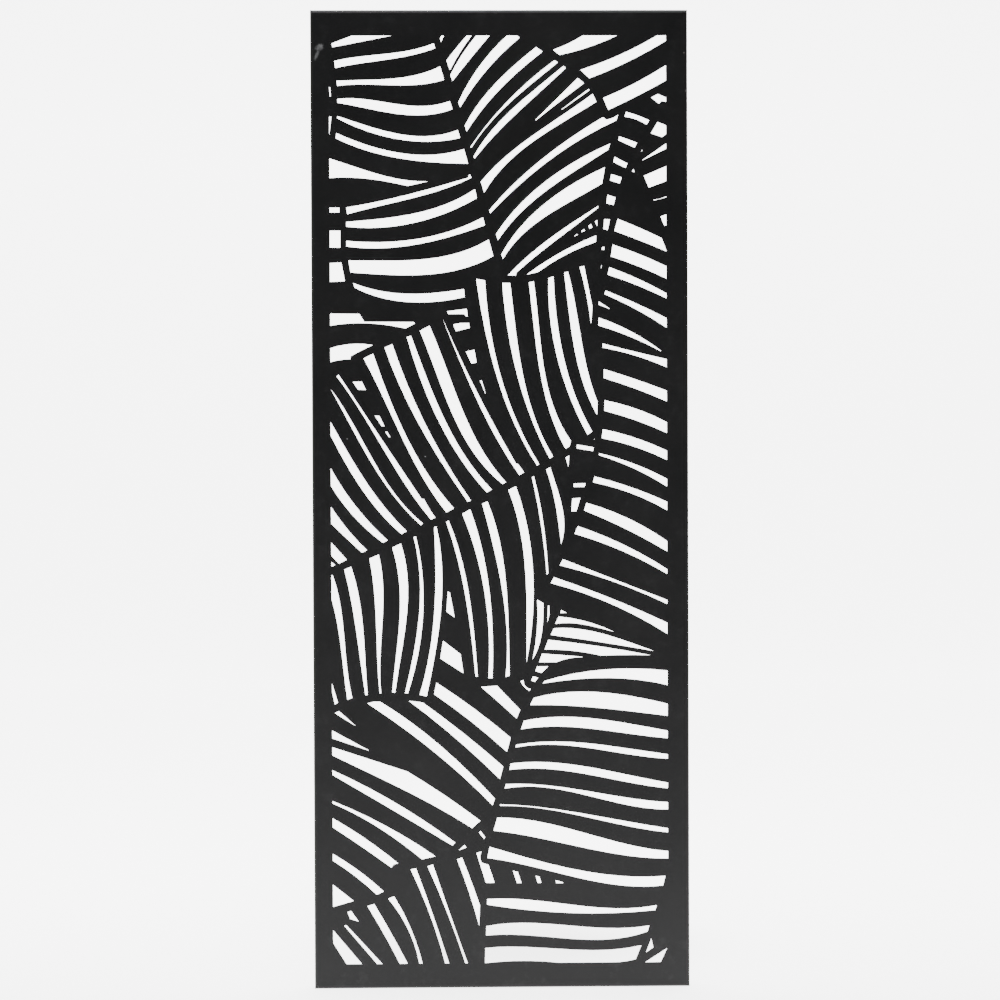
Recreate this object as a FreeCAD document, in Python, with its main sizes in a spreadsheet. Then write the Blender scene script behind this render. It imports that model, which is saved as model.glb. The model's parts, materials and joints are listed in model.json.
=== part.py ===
"""Folded sheet panel with a leaf pattern of slots, its corner plates, rivets and wall bumpers.

The panel stands along +Z with its face towards -Y. The origin is the middle of the whole part's base.
"""

import FreeCAD
import Part

import os

import Sketcher
from FreeCAD import Vector

# Driving dimensions in millimetres
DIMENSIONS = {
    "panel_width": 500,
    "panel_height": 1300,
    "panel_depth": 20,
    "sheet_gauge": 1.2,
    "bend_radius": 4,
    "lip_width": 12,
    "seam_gap": 0.5,
    "relief_diameter": 1.6,
    "border_left": 24.1,
    "border_right": 27.8,
    "border_top": 33.5,
    "border_bottom": 32.2,
    "slot_draw_in": 0.8,
    "plate_gauge": 1.5,
    "plate_length": 62,
    "plate_side_leg": 20,
    "plate_margin": 1,
    "plate_clearance": 0.3,
    "keyhole_entry": 9,
    "keyhole_slot": 4.5,
    "keyhole_travel": 7.5,
    "keyhole_lip_gap": 0.3,
    "keyhole_inset": 34,
    "rivet_shank": 3.2,
    "rivet_clearance": 0.1,
    "rivet_head": 6,
    "rivet_head_height": 1,
    "rivet_head_round": 0.6,
    "rivet_bulb": 4.8,
    "rivet_bulb_height": 3,
    "rivet_from_edge": 7.2,
    "rivet_near": 18,
    "rivet_end_distance": 8,
    "bumper_head": 8,
    "bumper_proud": 2,
    "bumper_round": 1.2,
    "bumper_stem": 4.6,
    "bumper_clearance": 0.1,
    "bumper_barb": 6,
    "bumper_barb_height": 2,
    "bumper_from_edge": 7.4,
    "bumper_from_end": 95,
}

# The leaf drawing, in millimetres from the middle of the base, between these window edges.
# An outline lists its corners. A list between two corners holds the points that a curved side runs through:
# one point for an arc, two for a curve that may swing both ways.
# The drawing follows the outer edge of the light in each slot, and slot_draw_in brings it to the cut edge.
LEFT = -227
RIGHT = 222.5
BOTTOM = 31.5
TOP = 1268

UPPER_LEAF_LEFT_BLADE = [
    [(-223.5, 1257.5), (-196, TOP), (-142, TOP), (-142, 1266.5), (-222, 1251)],
    [(-220, 1234.5), [(-180, 1241), (-130, 1246.5)], (-86.5, 1258), (-84, 1250), [(-120, 1239.7),
     (-180, 1230.5)], (-218.5, 1223.5)],
    [(-217, 1208.5), [(-160, 1210), (-115, 1215)], (-78, 1227.5), (-72.5, 1208), [(-125, 1200.7),
     (-180, 1202)], (-216, 1200)],
    [(-216, 1184.5), [(-190, 1185), (-110, 1174.8)], (-65.5, 1181.5), (-61.5, 1169), [(-120, 1161.3),
     (-180, 1171)], (-216, 1178)],
    [(-216, 1162), [(-165, 1145.4), (-100, 1134.7)], (-55, 1143.2), (-51.5, 1131), [(-100, 1126),
     (-160, 1135)], (-216.5, 1157.5)],
    [(-217.5, 1139.5), [(-160, 1118.5), (-95, 1110)], (-46.9, 1117.8), (-40.9, 1096.8), [(-95, 1099.2),
     (-165, 1111)], (-218.5, 1131)],
    [(LEFT, 1106), [(-165, 1085.7), (-125, 1076.7)], (-94, 1075), (-95, 1073.5), (-122, 1067.5),
     [(-160, 1075), (-195, 1078.7)], (LEFT, 1078.2)],
    [(-205, 1040.5), [(-150, 1051), (-90, 1066)], (-43, 1079.5), (-40, 1086), (-36.5, 1078.5),
     [(-90, 1058.3), (-150, 1043.3)], (-203.5, 1030)],
    [(-205, 1021.5), [(-150, 1026.6), (-85, 1040)], (-32.5, 1065), (-29.5, 1051.5), [(-90, 1025),
     (-155, 1012.6)], (-205, 1013.7)],
    [(-205, 996.5), [(-150, 994.8), (-80, 1005)], (-22, 1027.5), (-19, 1015.5), [(-80, 996.5),
     (-150, 985.3)], (-205, 987.5)],
    [(-202.5, 970.5), [(-150, 970), (-75, 975.5)], (-14.5, 998), (-8, 974.5), [(-75, 952.3),
     (-140, 949.3)], (-199.5, 953)],
    [(-196.5, 941), [(-165, 931), (-105, 926)], (-47.5, 932.2), (-46.5, 920), [(-110, 913),
     (-160, 919.7)], (-194, 933)],
    [(LEFT, 900), (-187, 899.5), (-180.5, 889), (-115, 888.5), (-112, 886), (-126, 878.5), [(-155, 883.7),
     (-195, 885.7)], (LEFT, 882.3)],
    [(LEFT, 1200), (-224, 1200), (-223, 1186), (-226, 1186)],
    [(LEFT, 1161), (-222.5, 1161), (-226.3, 1133)],
    [(-79.5, 1264), (-77, TOP), (-72, TOP), (-76.5, 1258.5), (-78, 1258)],
    [(LEFT, 1040.5), (-212.5, 1040.5), (-212.5, 1032.5), (LEFT, 1032.5)],
    [(LEFT, 1010), (-211.5, 1010), (-211.5, 986), (LEFT, 986)],
    [(LEFT, 967), (-210.5, 967.8), (-205.5, 941.5), (LEFT, 940.5)],
    [(LEFT, 854), [(-200, 859.5)], (-168, 857.8), [(-186, 848.8)], (-198.4, 842.3), (-199, 838),
     [(-213, 837)], (LEFT, 834)],
    [(-198, 809.5), (-184, 809.5), (-178, 797), (-190, 797.5)],
    [(-169, 764.5), (-161, 764), (-153.5, 748.5), (-159, 749)],
    [(-155, 743), (-150.5, 743), (-146, 734), (-149.5, 734.5)],
]

UPPER_LEAF_RIGHT_BLADE = [
    [(-71, 1234.5), [(-58, 1251)], (-43.5, TOP), (-35, TOP), [(-51.2, 1245)], (-65.8, 1219.5)],
    [(-66, 1215), [(-49, 1244)], (-31, TOP), (-11, TOP), [(-38, 1236)], (-62.5, 1205.5)],
    [(-55.5, 1179), [(-30, 1223)], (10, TOP), (24, TOP), (28.5, 1264.5), [(-15, 1222.5)],
     (-52.5, 1170.5)],
    [(-47, 1148), [(-22, 1186), (20, 1229)], (49, 1253), (59, 1246), [(20.9, 1214.6), (-19.7, 1172.2)],
     (-44, 1138.5)],
    [(-39.5, 1120), [(-10, 1158.5), (30, 1200)], (73.5, 1235.5), (79.3, 1231.7), [(30.4, 1192.1),
     (-11.2, 1152.2)], (-38, 1117)],
    [(-35.5, 1107), [(-10.6, 1142.6), (34.7, 1186.4)], (85.5, 1228), (89.5, 1224), [(40, 1179),
     (-8, 1132.5)], (-33.5, 1103)],
    [(46.5, 1155.5), (104.5, 1212), (114, 1204), [(85, 1182.5)], (48.5, 1154)],
    [(81.5, 1169.5), (119, 1197.5), (121, 1194.5), (83, 1168)],
    [(-26, 1074), [(0, 1101), (60, 1146.7)], (124.5, 1191), (130, 1179), [(60, 1136.5), (0, 1086.7)],
     (-21, 1057.5)],
    [(-14.9, 1036.2), [(15.2, 1068.3), (70, 1115)], (138, 1160), (142, 1156.5), [(150, 1158.5)],
     (159, 1163.5), (156, 1154), [(80, 1111), (20, 1063)], (-13.5, 1030)],
    [(-6, 1004.5), [(25, 1043), (80, 1088.5)], (148.5, 1125.5), (145, 1115.2), [(79.7, 1073.5),
     (30.7, 1034.6)], (-3, 994.4)],
    [(1, 977.5), [(25, 1012), (75, 1057)], (141, 1094), (137, 1070.5), [(80, 1038.5), (30, 1002.5)],
     (3.5, 969.5)],
    [(8.5, 948.5), [(40, 978.5), (90, 1015.7)], (132.5, 1043), (131, 1037.9), [(89.5, 1006.2),
     (45.5, 972.3)], (22.3, 952.5), (21.5, 948.5)],
    [(33.5, 949.5), [(80, 980)], (129, 1003.5), (128.5, 993), [(90, 977)], (51, 953)],
    [(96.5, 999.5), (103, 1005.5), (104.5, 1002.5)],
    [(107.5, 1008.5), (112.5, 1011.5), (114.5, 1008), (108.5, 1005.5)],
    [(117, 1015), (121.5, 1018.5), (124, 1012.5), (119, 1010)],
    [(125.5, 1020.5), (130.5, 1024.5), (130, 1012.5)],
]

TOP_RIGHT_LEAF = [
    [(70, 1248.5), [(92, 1257.5)], (111, TOP), (158, TOP), (157.5, 1266.5), [(122, 1252)], (80, 1240.5)],
    [(106.5, 1222), [(155, 1240)], (210, TOP), (RIGHT, TOP), (RIGHT, 1259.5), [(170, 1231)],
     (119.5, 1209.5)],
    [(137, 1184.8), [(180.2, 1204.6)], (RIGHT, 1229), (RIGHT, 1207), [(185, 1187)], (144.5, 1167.5)],
]

SHOOTS = [
    [(200.5, 1185), (211, 1190.5), (RIGHT, 1185.5), (RIGHT, 1178), (216, 1179.5), (212.5, 1175.5)],
    [(168, 1167), [(184, 1162)], (200.5, 1155), (196, 1148), [(182, 1155)], (165.5, 1159)],
    [(210, 1153.5), (RIGHT, 1148.5), (RIGHT, 1136), (216.5, 1131.5), (200.5, 1137)],
    [(159, 1134.5), (184, 1125.5), (180, 1117.5), (157, 1128)],
    [(189.5, 1116.5), (191.5, 1115), (188.5, 1112.5), (187.5, 1114)],
    [(187, 1100), (RIGHT, 1125.5), (RIGHT, 1116.5)],
    [(152.5, 1107.5), (171, 1098), (168, 1090.5), (150.5, 1099)],
    [(178, 1092), (181, 1085), (175, 1086)],
    [(148, 1084.5), (163.5, 1079.5), (160, 1070), (146, 1074.5)],
    [(191, 1081.5), (RIGHT, 1095), (RIGHT, 1073.5), (198, 1064.5)],
    [(203.5, 1050), [(213, 1051.5)], (RIGHT, 1055), (RIGHT, 1052), [(213, 1049.5)], (205, 1047.5)],
    [(143, 1057), (155, 1053), (152, 1041.5), (141, 1044)],
    [(213, 1027.5), (RIGHT, 1031), (RIGHT, 1014.5), (218.5, 1014)],
    [(138.5, 1024.5), (147.5, 1024), (144, 1008), (137, 1010)],
    [(135.5, 987.5), (140, 987.5), (139.5, 982), (134.5, 982.5)],
    [(134.5, 963.5), (136.5, 963), (135.5, 957.5), (133.5, 958.5)],
    [(130.5, 916), (147, 905), (146, 903.5), (130.5, 909.5)],
]

RIGHT_LEAF = [
    [(156.5, 1025), [(190, 1011)], (216, 999), (RIGHT, 982), (RIGHT, 979.5), [(190, 993)],
     (151.5, 1007.5)],
    [(149.5, 991), [(185, 978)], (RIGHT, 961.5), (RIGHT, 943.2), [(185.5, 959.7)], (146.8, 973.7)],
    [(145, 961), [(185, 944.5)], (RIGHT, 925.5), (RIGHT, 917), [(185, 934)], (142.5, 949.5)],
    [(140, 930), [(180, 913)], (RIGHT, 892.5), (RIGHT, 877.8), [(179.4, 903.9)], (138, 923.7)],
    [(130.5, 894), [(164.8, 880)], (215.5, 848.8), (214, 847), [(170, 868)], (129.8, 882)],
    [(135.5, 859.5), [(170, 850.5)], (RIGHT, 838), (RIGHT, 825.5), [(180, 841.5)], (135.5, 852.5)],
    [(137, 825.5), [(180, 811.5)], (RIGHT, 796), (RIGHT, 780), [(180, 797.5)], (137, 812)],
    [(138, 784), [(180, 772.5)], (RIGHT, 754), (RIGHT, 738), [(180, 755.5)], (137.5, 768.5)],
    [(135.5, 745.5), [(175, 735)], (RIGHT, 716), (RIGHT, 702), [(175, 721.5)], (134, 732)],
    [(130.7, 713.6), [(175.3, 699.9)], (RIGHT, 678.5), (RIGHT, 666.5), [(175, 692.5)], (130, 709.5)],
    [(124.5, 682.5), [(170, 669)], (RIGHT, 648), (RIGHT, 635), [(170.4, 659.6)], (121.8, 673.3)],
    [(113.5, 647.5), [(165, 628.5)], (RIGHT, 595.5), (RIGHT, 580), [(165, 611.5)], (110, 636)],
    [(102, 616.5), [(165, 590.5)], (RIGHT, 558), (RIGHT, 550), [(165, 580)], (97, 605)],
    [(82, 572.5), [(150, 545.5)], (RIGHT, 517), (RIGHT, 510), [(150, 540.5)], (77, 563)],
    [(70, 548.5), [(145, 520.5)], (RIGHT, 486.5), (RIGHT, 470), [(145, 511.5)], (65, 539.4)],
]

MIDDLE_LEAF_UPPER_BLADE = [
    [(LEFT, 571), (-220, 565.5), (-225, 562), (LEFT, 564)],
    [(LEFT, 597), (-204.5, 572), (-216.5, 566), (LEFT, 577.5)],
    [(LEFT, 644.5), [(-201.5, 610)], (-177.5, 584.5), (-185.5, 580.5), [(-206.5, 600)], (LEFT, 620)],
    [(LEFT, 695.5), [(-190, 640)], (-150, 597.5), (-157.5, 593.5), [(-193, 625)], (LEFT, 670)],
    [(LEFT, 757.5), [(-200, 710), (-160.5, 650)], (-124.5, 609.5), (-133, 605), [(-167, 640),
     (-204.5, 695)], (LEFT, 737)],
    [(LEFT, 801), [(-194, 750), (-150, 673)], (-103, 620), (-107, 616.5), [(-155.5, 673), (-200.5, 750)]],
    [(-219, 816), (-215.5, 819.5), [(-163, 740)], (-105.5, 653.5), (-102, 653), [(-95, 640)],
     (-86.5, 627.5), (-93.5, 624), [(-120.5, 660), (-169.5, 740)]],
    [(-183, 840), (-169, 847), [(-144.5, 780), (-105.2, 699.6)], (-61.6, 639.7), (-73, 633.5),
     [(-115.5, 700), (-153.5, 780)]],
    [(-155, 854.5), (-143.5, 859.5), [(-117, 790), (-77, 710)], (-39, 650), (-44.5, 647.5), [(-85.5, 710),
     (-129, 790)]],
    [(-125.5, 868.5), (-118.5, 870.5), [(-88, 790), (-47, 710)], (-11, 664.5), (-19, 660), [(-57.5, 710),
     (-98.8, 790)]],
    [(-108, 876.5), (-93.8, 883.9), [(-61.4, 799.8), (-25.5, 720)], (8, 674.1), (2, 671), [(-38, 715),
     (-79, 800)]],
    [(-77.5, 892), (-76, 892.5), [(-48, 830), (3, 731)], (20.5, 700), (23.5, 699), (32, 687.5),
     (24.5, 682.5), [(-5, 730), (-52.5, 830)]],
    [(-32.8, 945.8), [(-17.5, 860), (14, 760)], (48.3, 695), (52, 698.2), [(20.5, 760), (-9.5, 860)],
     (-19.5, 943.5)],
    [(2, 940), [(12, 860), (38.5, 763)], (65, 704.5), (70.6, 708.3), [(46.2, 760.2), (23.4, 860.2)],
     (14, 940)],
    [(37.5, 940.5), [(46.3, 860.2), (67.2, 760.3)], (86, 717.5), (92.5, 721.5), (94.3, 729.3),
     [(76.9, 760.6), (54.2, 860)], (45.4, 942.4)],
    [(63.5, 946), [(70.5, 860), (94.5, 780)], (115.5, 736), (123, 741.3), [(104, 780), (80.9, 860)],
     (71.7, 949)],
    [(84.5, 953.5), [(91, 898), (106, 817)], (127.5, 763.5), (129.5, 764), (130, 781), [(117.5, 820),
     (104.2, 890.3)], (91, 955)],
    [(105, 961), [(114, 924)], (120, 885), (122, 884.5), (123.5, 908), [(119, 930)], (112.5, 962.5)],
    [(-72, 902.5), (-44, 906), (-42.5, 894.5), (-45.5, 894), (-48.5, 897.5), (-69.5, 897.5)],
    [(-63.5, 885), (-53.5, 887), (-41, 887), (-40, 879), (-59.5, 874.5)],
    [(-47, 849), (-34, 851.5), (-31, 833), (-39, 831.5)],
    [(-28.5, 810.5), (-24.5, 811), (-19, 792), (-20.5, 791)],
    [(85.5, 707.5), (92, 711), (91, 694), (89.5, 694)],
    [(101, 725), (125, 721), (123.5, 714.5), (100.5, 718.5)],
    [(124, 732), (126, 732), (126, 730), (124, 730)],
    [(96.5, 673), (114, 673.5), (112, 667), (96, 667)],
    [(94.5, 653), (107, 654), (101, 634.5), (93, 634.5)],
]

MIDDLE_LEAF_LOWER_BLADE = [
    [(LEFT, 552.5), (-224, 552.5), [(-212, 500), (-205.5, 430)], (-198.5, 387.5), (-206.5, 384.5),
     [(-212, 430), (-219.5, 487)], (LEFT, 520)],
    [(-210, 559.5), (-199.5, 564), [(-186, 503), (-180.5, 430)], (-178, 391.5), (-182.5, 390.5),
     [(-188, 430), (-199.5, 510)]],
    [(-176.5, 574), (-162.5, 580), [(-156.5, 525), (-161, 440)], (-160, 393), (-163.5, 393),
     [(-166.5, 440), (-169.5, 520)]],
    [(-146, 588.5), (-133, 594.5), [(-123.6, 528), (-132.5, 449)], (-141.5, 394), (-147, 394),
     [(-141, 447), (-135.8, 515)]],
    [(-117.5, 602.5), (-113, 604), [(-103, 525), (-109.5, 451)], (-124.5, 393), (-130, 393),
     [(-116.5, 455), (-109, 525)]],
    [(-90, 615.5), (-85.5, 617), [(-77.8, 545), (-85.6, 459)], (-99.5, 388.5), (-110.5, 391), [(-96, 452),
     (-88.5, 540)]],
    [(-74, 622), (-69.5, 625), [(-49.5, 562), (-36.5, 480)], (-31, 414.5), (-35.5, 415), [(-42, 478),
     (-56, 560)]],
    [(-52.5, 632.9), (-40.6, 639.8), [(-19.5, 560), (-11.2, 480)], (-11.5, 412.5), (-18.5, 412.5),
     [(-17.9, 478), (-29.3, 559.8)]],
    [(-25.9, 646.4), (-17.5, 650), [(2, 580), (10, 490)], (11.5, 416), (4.6, 413.8), [(4.5, 500),
     (-9, 580)]],
    [(9, 664.5), (20.5, 670), [(38.5, 600), (43.5, 510)], (33.2, 432), [(33, 500), (26.5, 600)]],
    [(40.5, 681), (44.5, 683.5), [(54, 640), (60.5, 593)], (63.5, 553), (62, 550.5), (60, 551),
     [(55, 600), (48, 645)]],
    [(59.5, 691.5), (66.2, 695.3), [(80.3, 650.2), (85, 615)], (80, 589.5), [(76.5, 615), (71, 650)]],
    [(47, 519), (57, 513.5), [(55.5, 480), (48.9, 451.2)], (40.7, 436), [(46.8, 480)]],
    [(61.5, 511), (64.5, 510.5), (65, 499), (62, 486.5), (60.5, 487.5)],
    [(-72, 530.5), (-68, 528.5), (-61.5, 493), (-74, 502)],
    [(-78.5, 465), (-54, 446), (-50, 418.5), (-82.5, 439.5)],
    [(LEFT, 408), (-225.5, 408), (-217.5, 381.5), (-223, 378), (-226.8, 395)],
]

SMALL_LEAF = [
    [(77.5, 499), (79.5, 505), (89, 499.5)],
    [(76, 496), [(110, 490)], (151, 475), (150.5, 473.5), [(120, 481.5), (95, 485.5)], (70.5, 484.5)],
    [(69.5, 480.3), [(105, 479), (160, 465)], (205.5, 448), [(160.2, 455.4), (110.2, 463.5)],
     (64.7, 470)],
    [(62, 465), [(130, 456)], (201, 442.8), [(165, 442.7)], (133, 442), [(100, 448)], (56.5, 450.5)],
    [(53.5, 446.5), [(80, 444.5)], (108.5, 442), (108.5, 440), [(90, 438.5)], (73.5, 433.5), (49, 433.5)],
    [(47, 429.5), (64, 429.5), (53.5, 419), (44, 422)],
    [(41.5, 416.5), (50, 414), (44.5, 407), (38.5, 409.5)],
    [(24, 410), (30, 411.5), [(31.5, 404)], (40, 399), (37, 395), [(29, 401.5)]],
]

LOWER_LEAF_LEFT_BLADE = [
    [(-224.5, 368), (-217, 371.5), (-193, 349)],
    [(LEFT, 346), (-176, 318), (-177, 316.5), (LEFT, 333.5)],
    [(LEFT, 323.5), (-126, 290), [(-80, 260.5)], (-28, 223), (-40.2, 212.1), [(-79.6, 236.3),
     (-150, 273.5)], (LEFT, 311)],
    [(LEFT, 293), [(-150, 253)], (-61.5, 194), (-66.5, 189), [(-150, 239.5)], (LEFT, 285)],
    [(LEFT, 251.8), [(-150.5, 215.1)], (-87.3, 175.5), (-107.5, 171), [(-130, 189), (-170.5, 217.2)],
     (LEFT, 246.8)],
    [(LEFT, 229), [(-180, 199)], (-137.5, 166.5), (-145, 164.5), (-148, 160), [(-180, 183)], (LEFT, 215)],
    [(LEFT, 181.5), [(-195, 160.5)], (-157, 129), (-168, 124), [(-198, 150)], (LEFT, 170.5)],
    [(LEFT, 140.5), (-197, 116.5), (LEFT, 108)],
    [(-181, 381), (-171, 383.5), (-162, 383.5), [(-109.5, 347.1), (-48.5, 293.7)], (-8.8, 252.6),
     (-12.5, 242), [(-50, 279), (-110, 330)]],
    [(-126, 384.5), (-115, 383.5), (-105, 382), [(-50, 340)], (2.5, 295.5), (-2.5, 277), [(-50, 322)]],
    [(-87.5, 409), [(-40, 376)], (12.5, 334), (7, 313.5), [(-40, 354)], (-91, 392)],
    [(-29.5, 402.5), (-6, 404), (25.5, 371), (20, 358), [(-5, 381)]],
    [(-32, 207), (-29, 211), (-22, 201), (-24, 197)],
    [(-60, 182.5), (-50.5, 192), (-46.5, 187)],
    [(-35.5, 180.5), (-26.8, 183), [(-28.8, 173)], (-27, 167.5), (-18, 164.5), (-9.5, 139), (-22.5, 139)],
]

LOWER_LEAF_RIGHT_BLADE = [
    [(53, 405), (57, 410), [(110, 421.8), (165, 426)], (RIGHT, 423), (RIGHT, 402), [(180, 409.7),
     (120, 411.8)]],
    [(42.5, 387.5), [(95, 395.3), (165, 390.5)], (RIGHT, 378.5), (RIGHT, 361), [(165, 368.3),
     (100, 374.7)], (36.5, 376.5)],
    [(29, 357), [(85, 362), (155, 355)], (RIGHT, 342.5), (RIGHT, 331), [(155, 339.7), (80, 347.5)],
     (24.5, 344)],
    [(18.5, 325), [(75, 329), (150, 322)], (RIGHT, 311), (RIGHT, 303.5), [(160, 311.5), (65, 323.5)],
     (17, 319.8)],
    [(11, 300), [(60, 301.5), (145, 289)], (RIGHT, 273), (RIGHT, 264), [(145, 277.3), (60, 291)],
     (9, 290)],
    [(4.5, 272.5), [(50, 271.5), (130, 259.7)], (RIGHT, 247), (RIGHT, 235.7), [(150, 246), (60, 266)],
     (2.5, 265)],
    [(-3.5, 245.7), [(50, 241.5), (140, 226.7)], (RIGHT, 212), (RIGHT, 205), [(140, 220), (50, 238.5)],
     (-3.5, 242)],
    [(-7, 228), [(60, 219.8), (140, 198)], (RIGHT, 181.5), (RIGHT, 170), [(150, 177), (60, 196.3)],
     (-12.5, 209)],
    [(-17.5, 189), [(60, 166.5), (150, 149.5)], (219, 148.5), (215.5, 134), [(170, 133.4), (80.2, 150.2)],
     (-20.9, 172.5)],
    [(-21, 119), [(50, 116), (150, 105.3)], (207.5, 109.5), (205, 101), [(140, 97.3), (50, 100.7)],
     (-21.5, 110)],
    [(-22.5, 82.7), [(45, 86.3), (140, 79)], (197.5, 82.3), (194.5, 72.5), [(125, 61.7), (40, 68)],
     (-23, 68.5)],
    [(-24, 53.5), [(40, 54), (120, 49.5)], (187, 56), (178.5, 35.5), [(162, 32.3)], (145, BOTTOM),
     (75, BOTTOM), [(30, 34.3)], (-24.5, BOTTOM)],
    [(199, 66), (202.5, 51.5), (190.5, 43.5)],
    [(188.5, BOTTOM), (221.5, 52.5), (212, BOTTOM)],
    [(13, 157), (21, 155), (26.5, 138.5), (19, 138.5)],
    [(43.5, 150), (50, 148.5), (53, 138.5), (46.5, 138.5)],
    [(70, 144), (82, 140.5), (81.5, 138), (71.5, 138)],
]

BOTTOM_LEAF = [
    [(LEFT, 79.8), (-186.2, BOTTOM), (-209, BOTTOM), (LEFT, 60.5)],
    [(-213.3, 84.7), (-208.3, 85.4), (-158.8, BOTTOM), (-168.3, BOTTOM)],
    [(-181.7, 110.4), (-171, 113.5), [(-150, 77)], (-125.5, BOTTOM), (-138, BOTTOM), [(-159.5, 72.3)]],
    [(-154, 120), (-144.5, 123.7), [(-122, 80)], (-106, BOTTOM), (-112, BOTTOM), [(-127.5, 79)]],
    [(-123.6, 159), (-115, 161), [(-95, 105.5)], (-70.5, BOTTOM), (-77.5, BOTTOM), [(-99.9, 103.3)]],
    [(-101, 163), (-92.5, 166), [(-71, 103)], (-45.5, BOTTOM), (-50.5, BOTTOM), [(-75, 101)]],
    [(-61.5, 172), (-53.5, 175), [(-40.5, 141)], (-29.5, 110), (-30.5, 82), (-32, 82), [(-45, 126)]],
    [(-208, 102.5), (-202, 104.5), (-190.5, 88), (-204, 92)],
]

LEAVES = {
    "upper_leaf_left_blade": UPPER_LEAF_LEFT_BLADE,
    "upper_leaf_right_blade": UPPER_LEAF_RIGHT_BLADE,
    "top_right_leaf": TOP_RIGHT_LEAF,
    "shoots": SHOOTS,
    "right_leaf": RIGHT_LEAF,
    "middle_leaf_upper_blade": MIDDLE_LEAF_UPPER_BLADE,
    "middle_leaf_lower_blade": MIDDLE_LEAF_LOWER_BLADE,
    "small_leaf": SMALL_LEAF,
    "lower_leaf_left_blade": LOWER_LEAF_LEFT_BLADE,
    "lower_leaf_right_blade": LOWER_LEAF_RIGHT_BLADE,
    "bottom_leaf": BOTTOM_LEAF,
}

doc = FreeCAD.newDocument("decorative_metal_panel")
sheet = doc.addObject("Spreadsheet::Sheet", "sizes")
for row, (alias, value) in enumerate(DIMENSIONS.items(), start=1):
    sheet.set("A%d" % row, alias)
    sheet.set("B%d" % row, str(value))
    sheet.setAlias("B%d" % row, alias)
doc.recompute()

# Places that several pieces share, as expressions on the sheet. Planes are across Y.
TOTAL_DEPTH = "(sizes.panel_depth + sizes.bumper_proud)"
REAR_PLANE = "(%s / 2 - sizes.bumper_proud)" % TOTAL_DEPTH
FRONT_PLANE = "(0 - %s / 2)" % TOTAL_DEPTH
LIP_INNER_PLANE = "(%s - sizes.sheet_gauge)" % REAR_PLANE
PLATE_INNER_PLANE = "(%s - sizes.plate_gauge)" % LIP_INNER_PLANE
HALF_WIDTH = "(sizes.panel_width / 2)"
HALF_DEPTH = "(sizes.panel_depth / 2)"
INNER_RADIUS = "(sizes.bend_radius - sizes.sheet_gauge)"
PLATE_INSET = "(sizes.bend_radius + sizes.plate_clearance)"
RIVET_HOLE = "(sizes.rivet_shank + sizes.rivet_clearance)"
BUMPER_HOLE = "(sizes.bumper_stem + sizes.bumper_clearance)"
TOP_SLOT_END = "(sizes.lip_width + sizes.keyhole_lip_gap + sizes.keyhole_slot / 2)"
TOP_ENTRY = "(%s + sizes.keyhole_travel)" % TOP_SLOT_END
LOW_ENTRY = "(sizes.lip_width + sizes.keyhole_lip_gap + sizes.keyhole_entry / 2)"
LOW_SLOT_END = "(%s + sizes.keyhole_travel)" % LOW_ENTRY
PLATE_END_LEG = "(%s + sizes.keyhole_entry / 2 + sizes.plate_margin)" % TOP_ENTRY

RIGHTWARDS, LEFTWARDS = 1, -1
UPPER, LOWER = 1, -1
CORNERS = {
    "top_left": (LEFTWARDS, UPPER),
    "top_right": (RIGHTWARDS, UPPER),
    "bottom_left": (LEFTWARDS, LOWER),
    "bottom_right": (RIGHTWARDS, LOWER),
}
FLAT = 1e-6
LONGEST_TIP = 2.5


def value_of(expression):
    """Number that an expression on the sheet stands for."""
    return float(sheet.evalExpression(expression))


def from_side(side, inset):
    """Expression for a place inset from the left or right side of the panel."""
    return "%d * (%s - %s)" % (side, HALF_WIDTH, inset)


def from_end(end, inset):
    """Expression for a place inset from the top or bottom end of the panel."""
    return "sizes.panel_height - " + inset if end == UPPER else "0 + " + inset


def new_body(label):
    """Empty body whose label names its file. It may hold several loose solids."""
    body = doc.addObject("PartDesign::Body", label)
    body.Label = label
    body.AllowCompound = True
    return body


def new_sketch(body, name, plane):
    """Sketch seen from the front, on the plane across Y that the expression gives."""
    sketch = body.newObject("Sketcher::SketchObject", body.Label + "_" + name)
    upright = [feature for feature in body.Origin.OriginFeatures if feature.Role == "XZ_Plane"][0]
    sketch.AttachmentSupport = [(upright, "")]
    sketch.MapMode = "FlatFace"
    sketch.setExpression("AttachmentOffset.Base.z", "0 - " + plane)
    return sketch


def pin_point(sketch, geometry, point, across, up):
    """Hold a sketch point at two expressions, measured from the middle of the base."""
    for kind, expression in (("DistanceX", across), ("DistanceY", up)):
        distance = Sketcher.Constraint(kind, -1, 1, geometry, point, value_of(expression))
        index = sketch.addConstraint(distance)
        sketch.setExpression("Constraints[%d]" % index, expression)


def add_polygon(sketch, points):
    """Closed outline of straight sides through points given as pairs of expressions."""
    places = [Vector(value_of(across), value_of(up), 0) for across, up in points]
    first = sketch.GeometryCount
    for start, end in zip(places, places[1:] + places[:1]):
        sketch.addGeometry(Part.LineSegment(start, end), False)
    for step, (across, up) in enumerate(points):
        next_side = first + (step + 1) % len(points)
        sketch.addConstraint(Sketcher.Constraint("Coincident", first + step, 2, next_side, 1))
        pin_point(sketch, first + step, 1, across, up)


def add_circle(sketch, across, up, diameter):
    """Circle whose centre and diameter are expressions."""
    centre = Vector(value_of(across), value_of(up), 0)
    circle = sketch.addGeometry(Part.Circle(centre, Vector(0, 0, 1), value_of(diameter) / 2), False)
    pin_point(sketch, circle, 3, across, up)
    bound = sketch.addConstraint(Sketcher.Constraint("Diameter", circle, value_of(diameter)))
    sketch.setExpression("Constraints[%d]" % bound, diameter)


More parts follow.
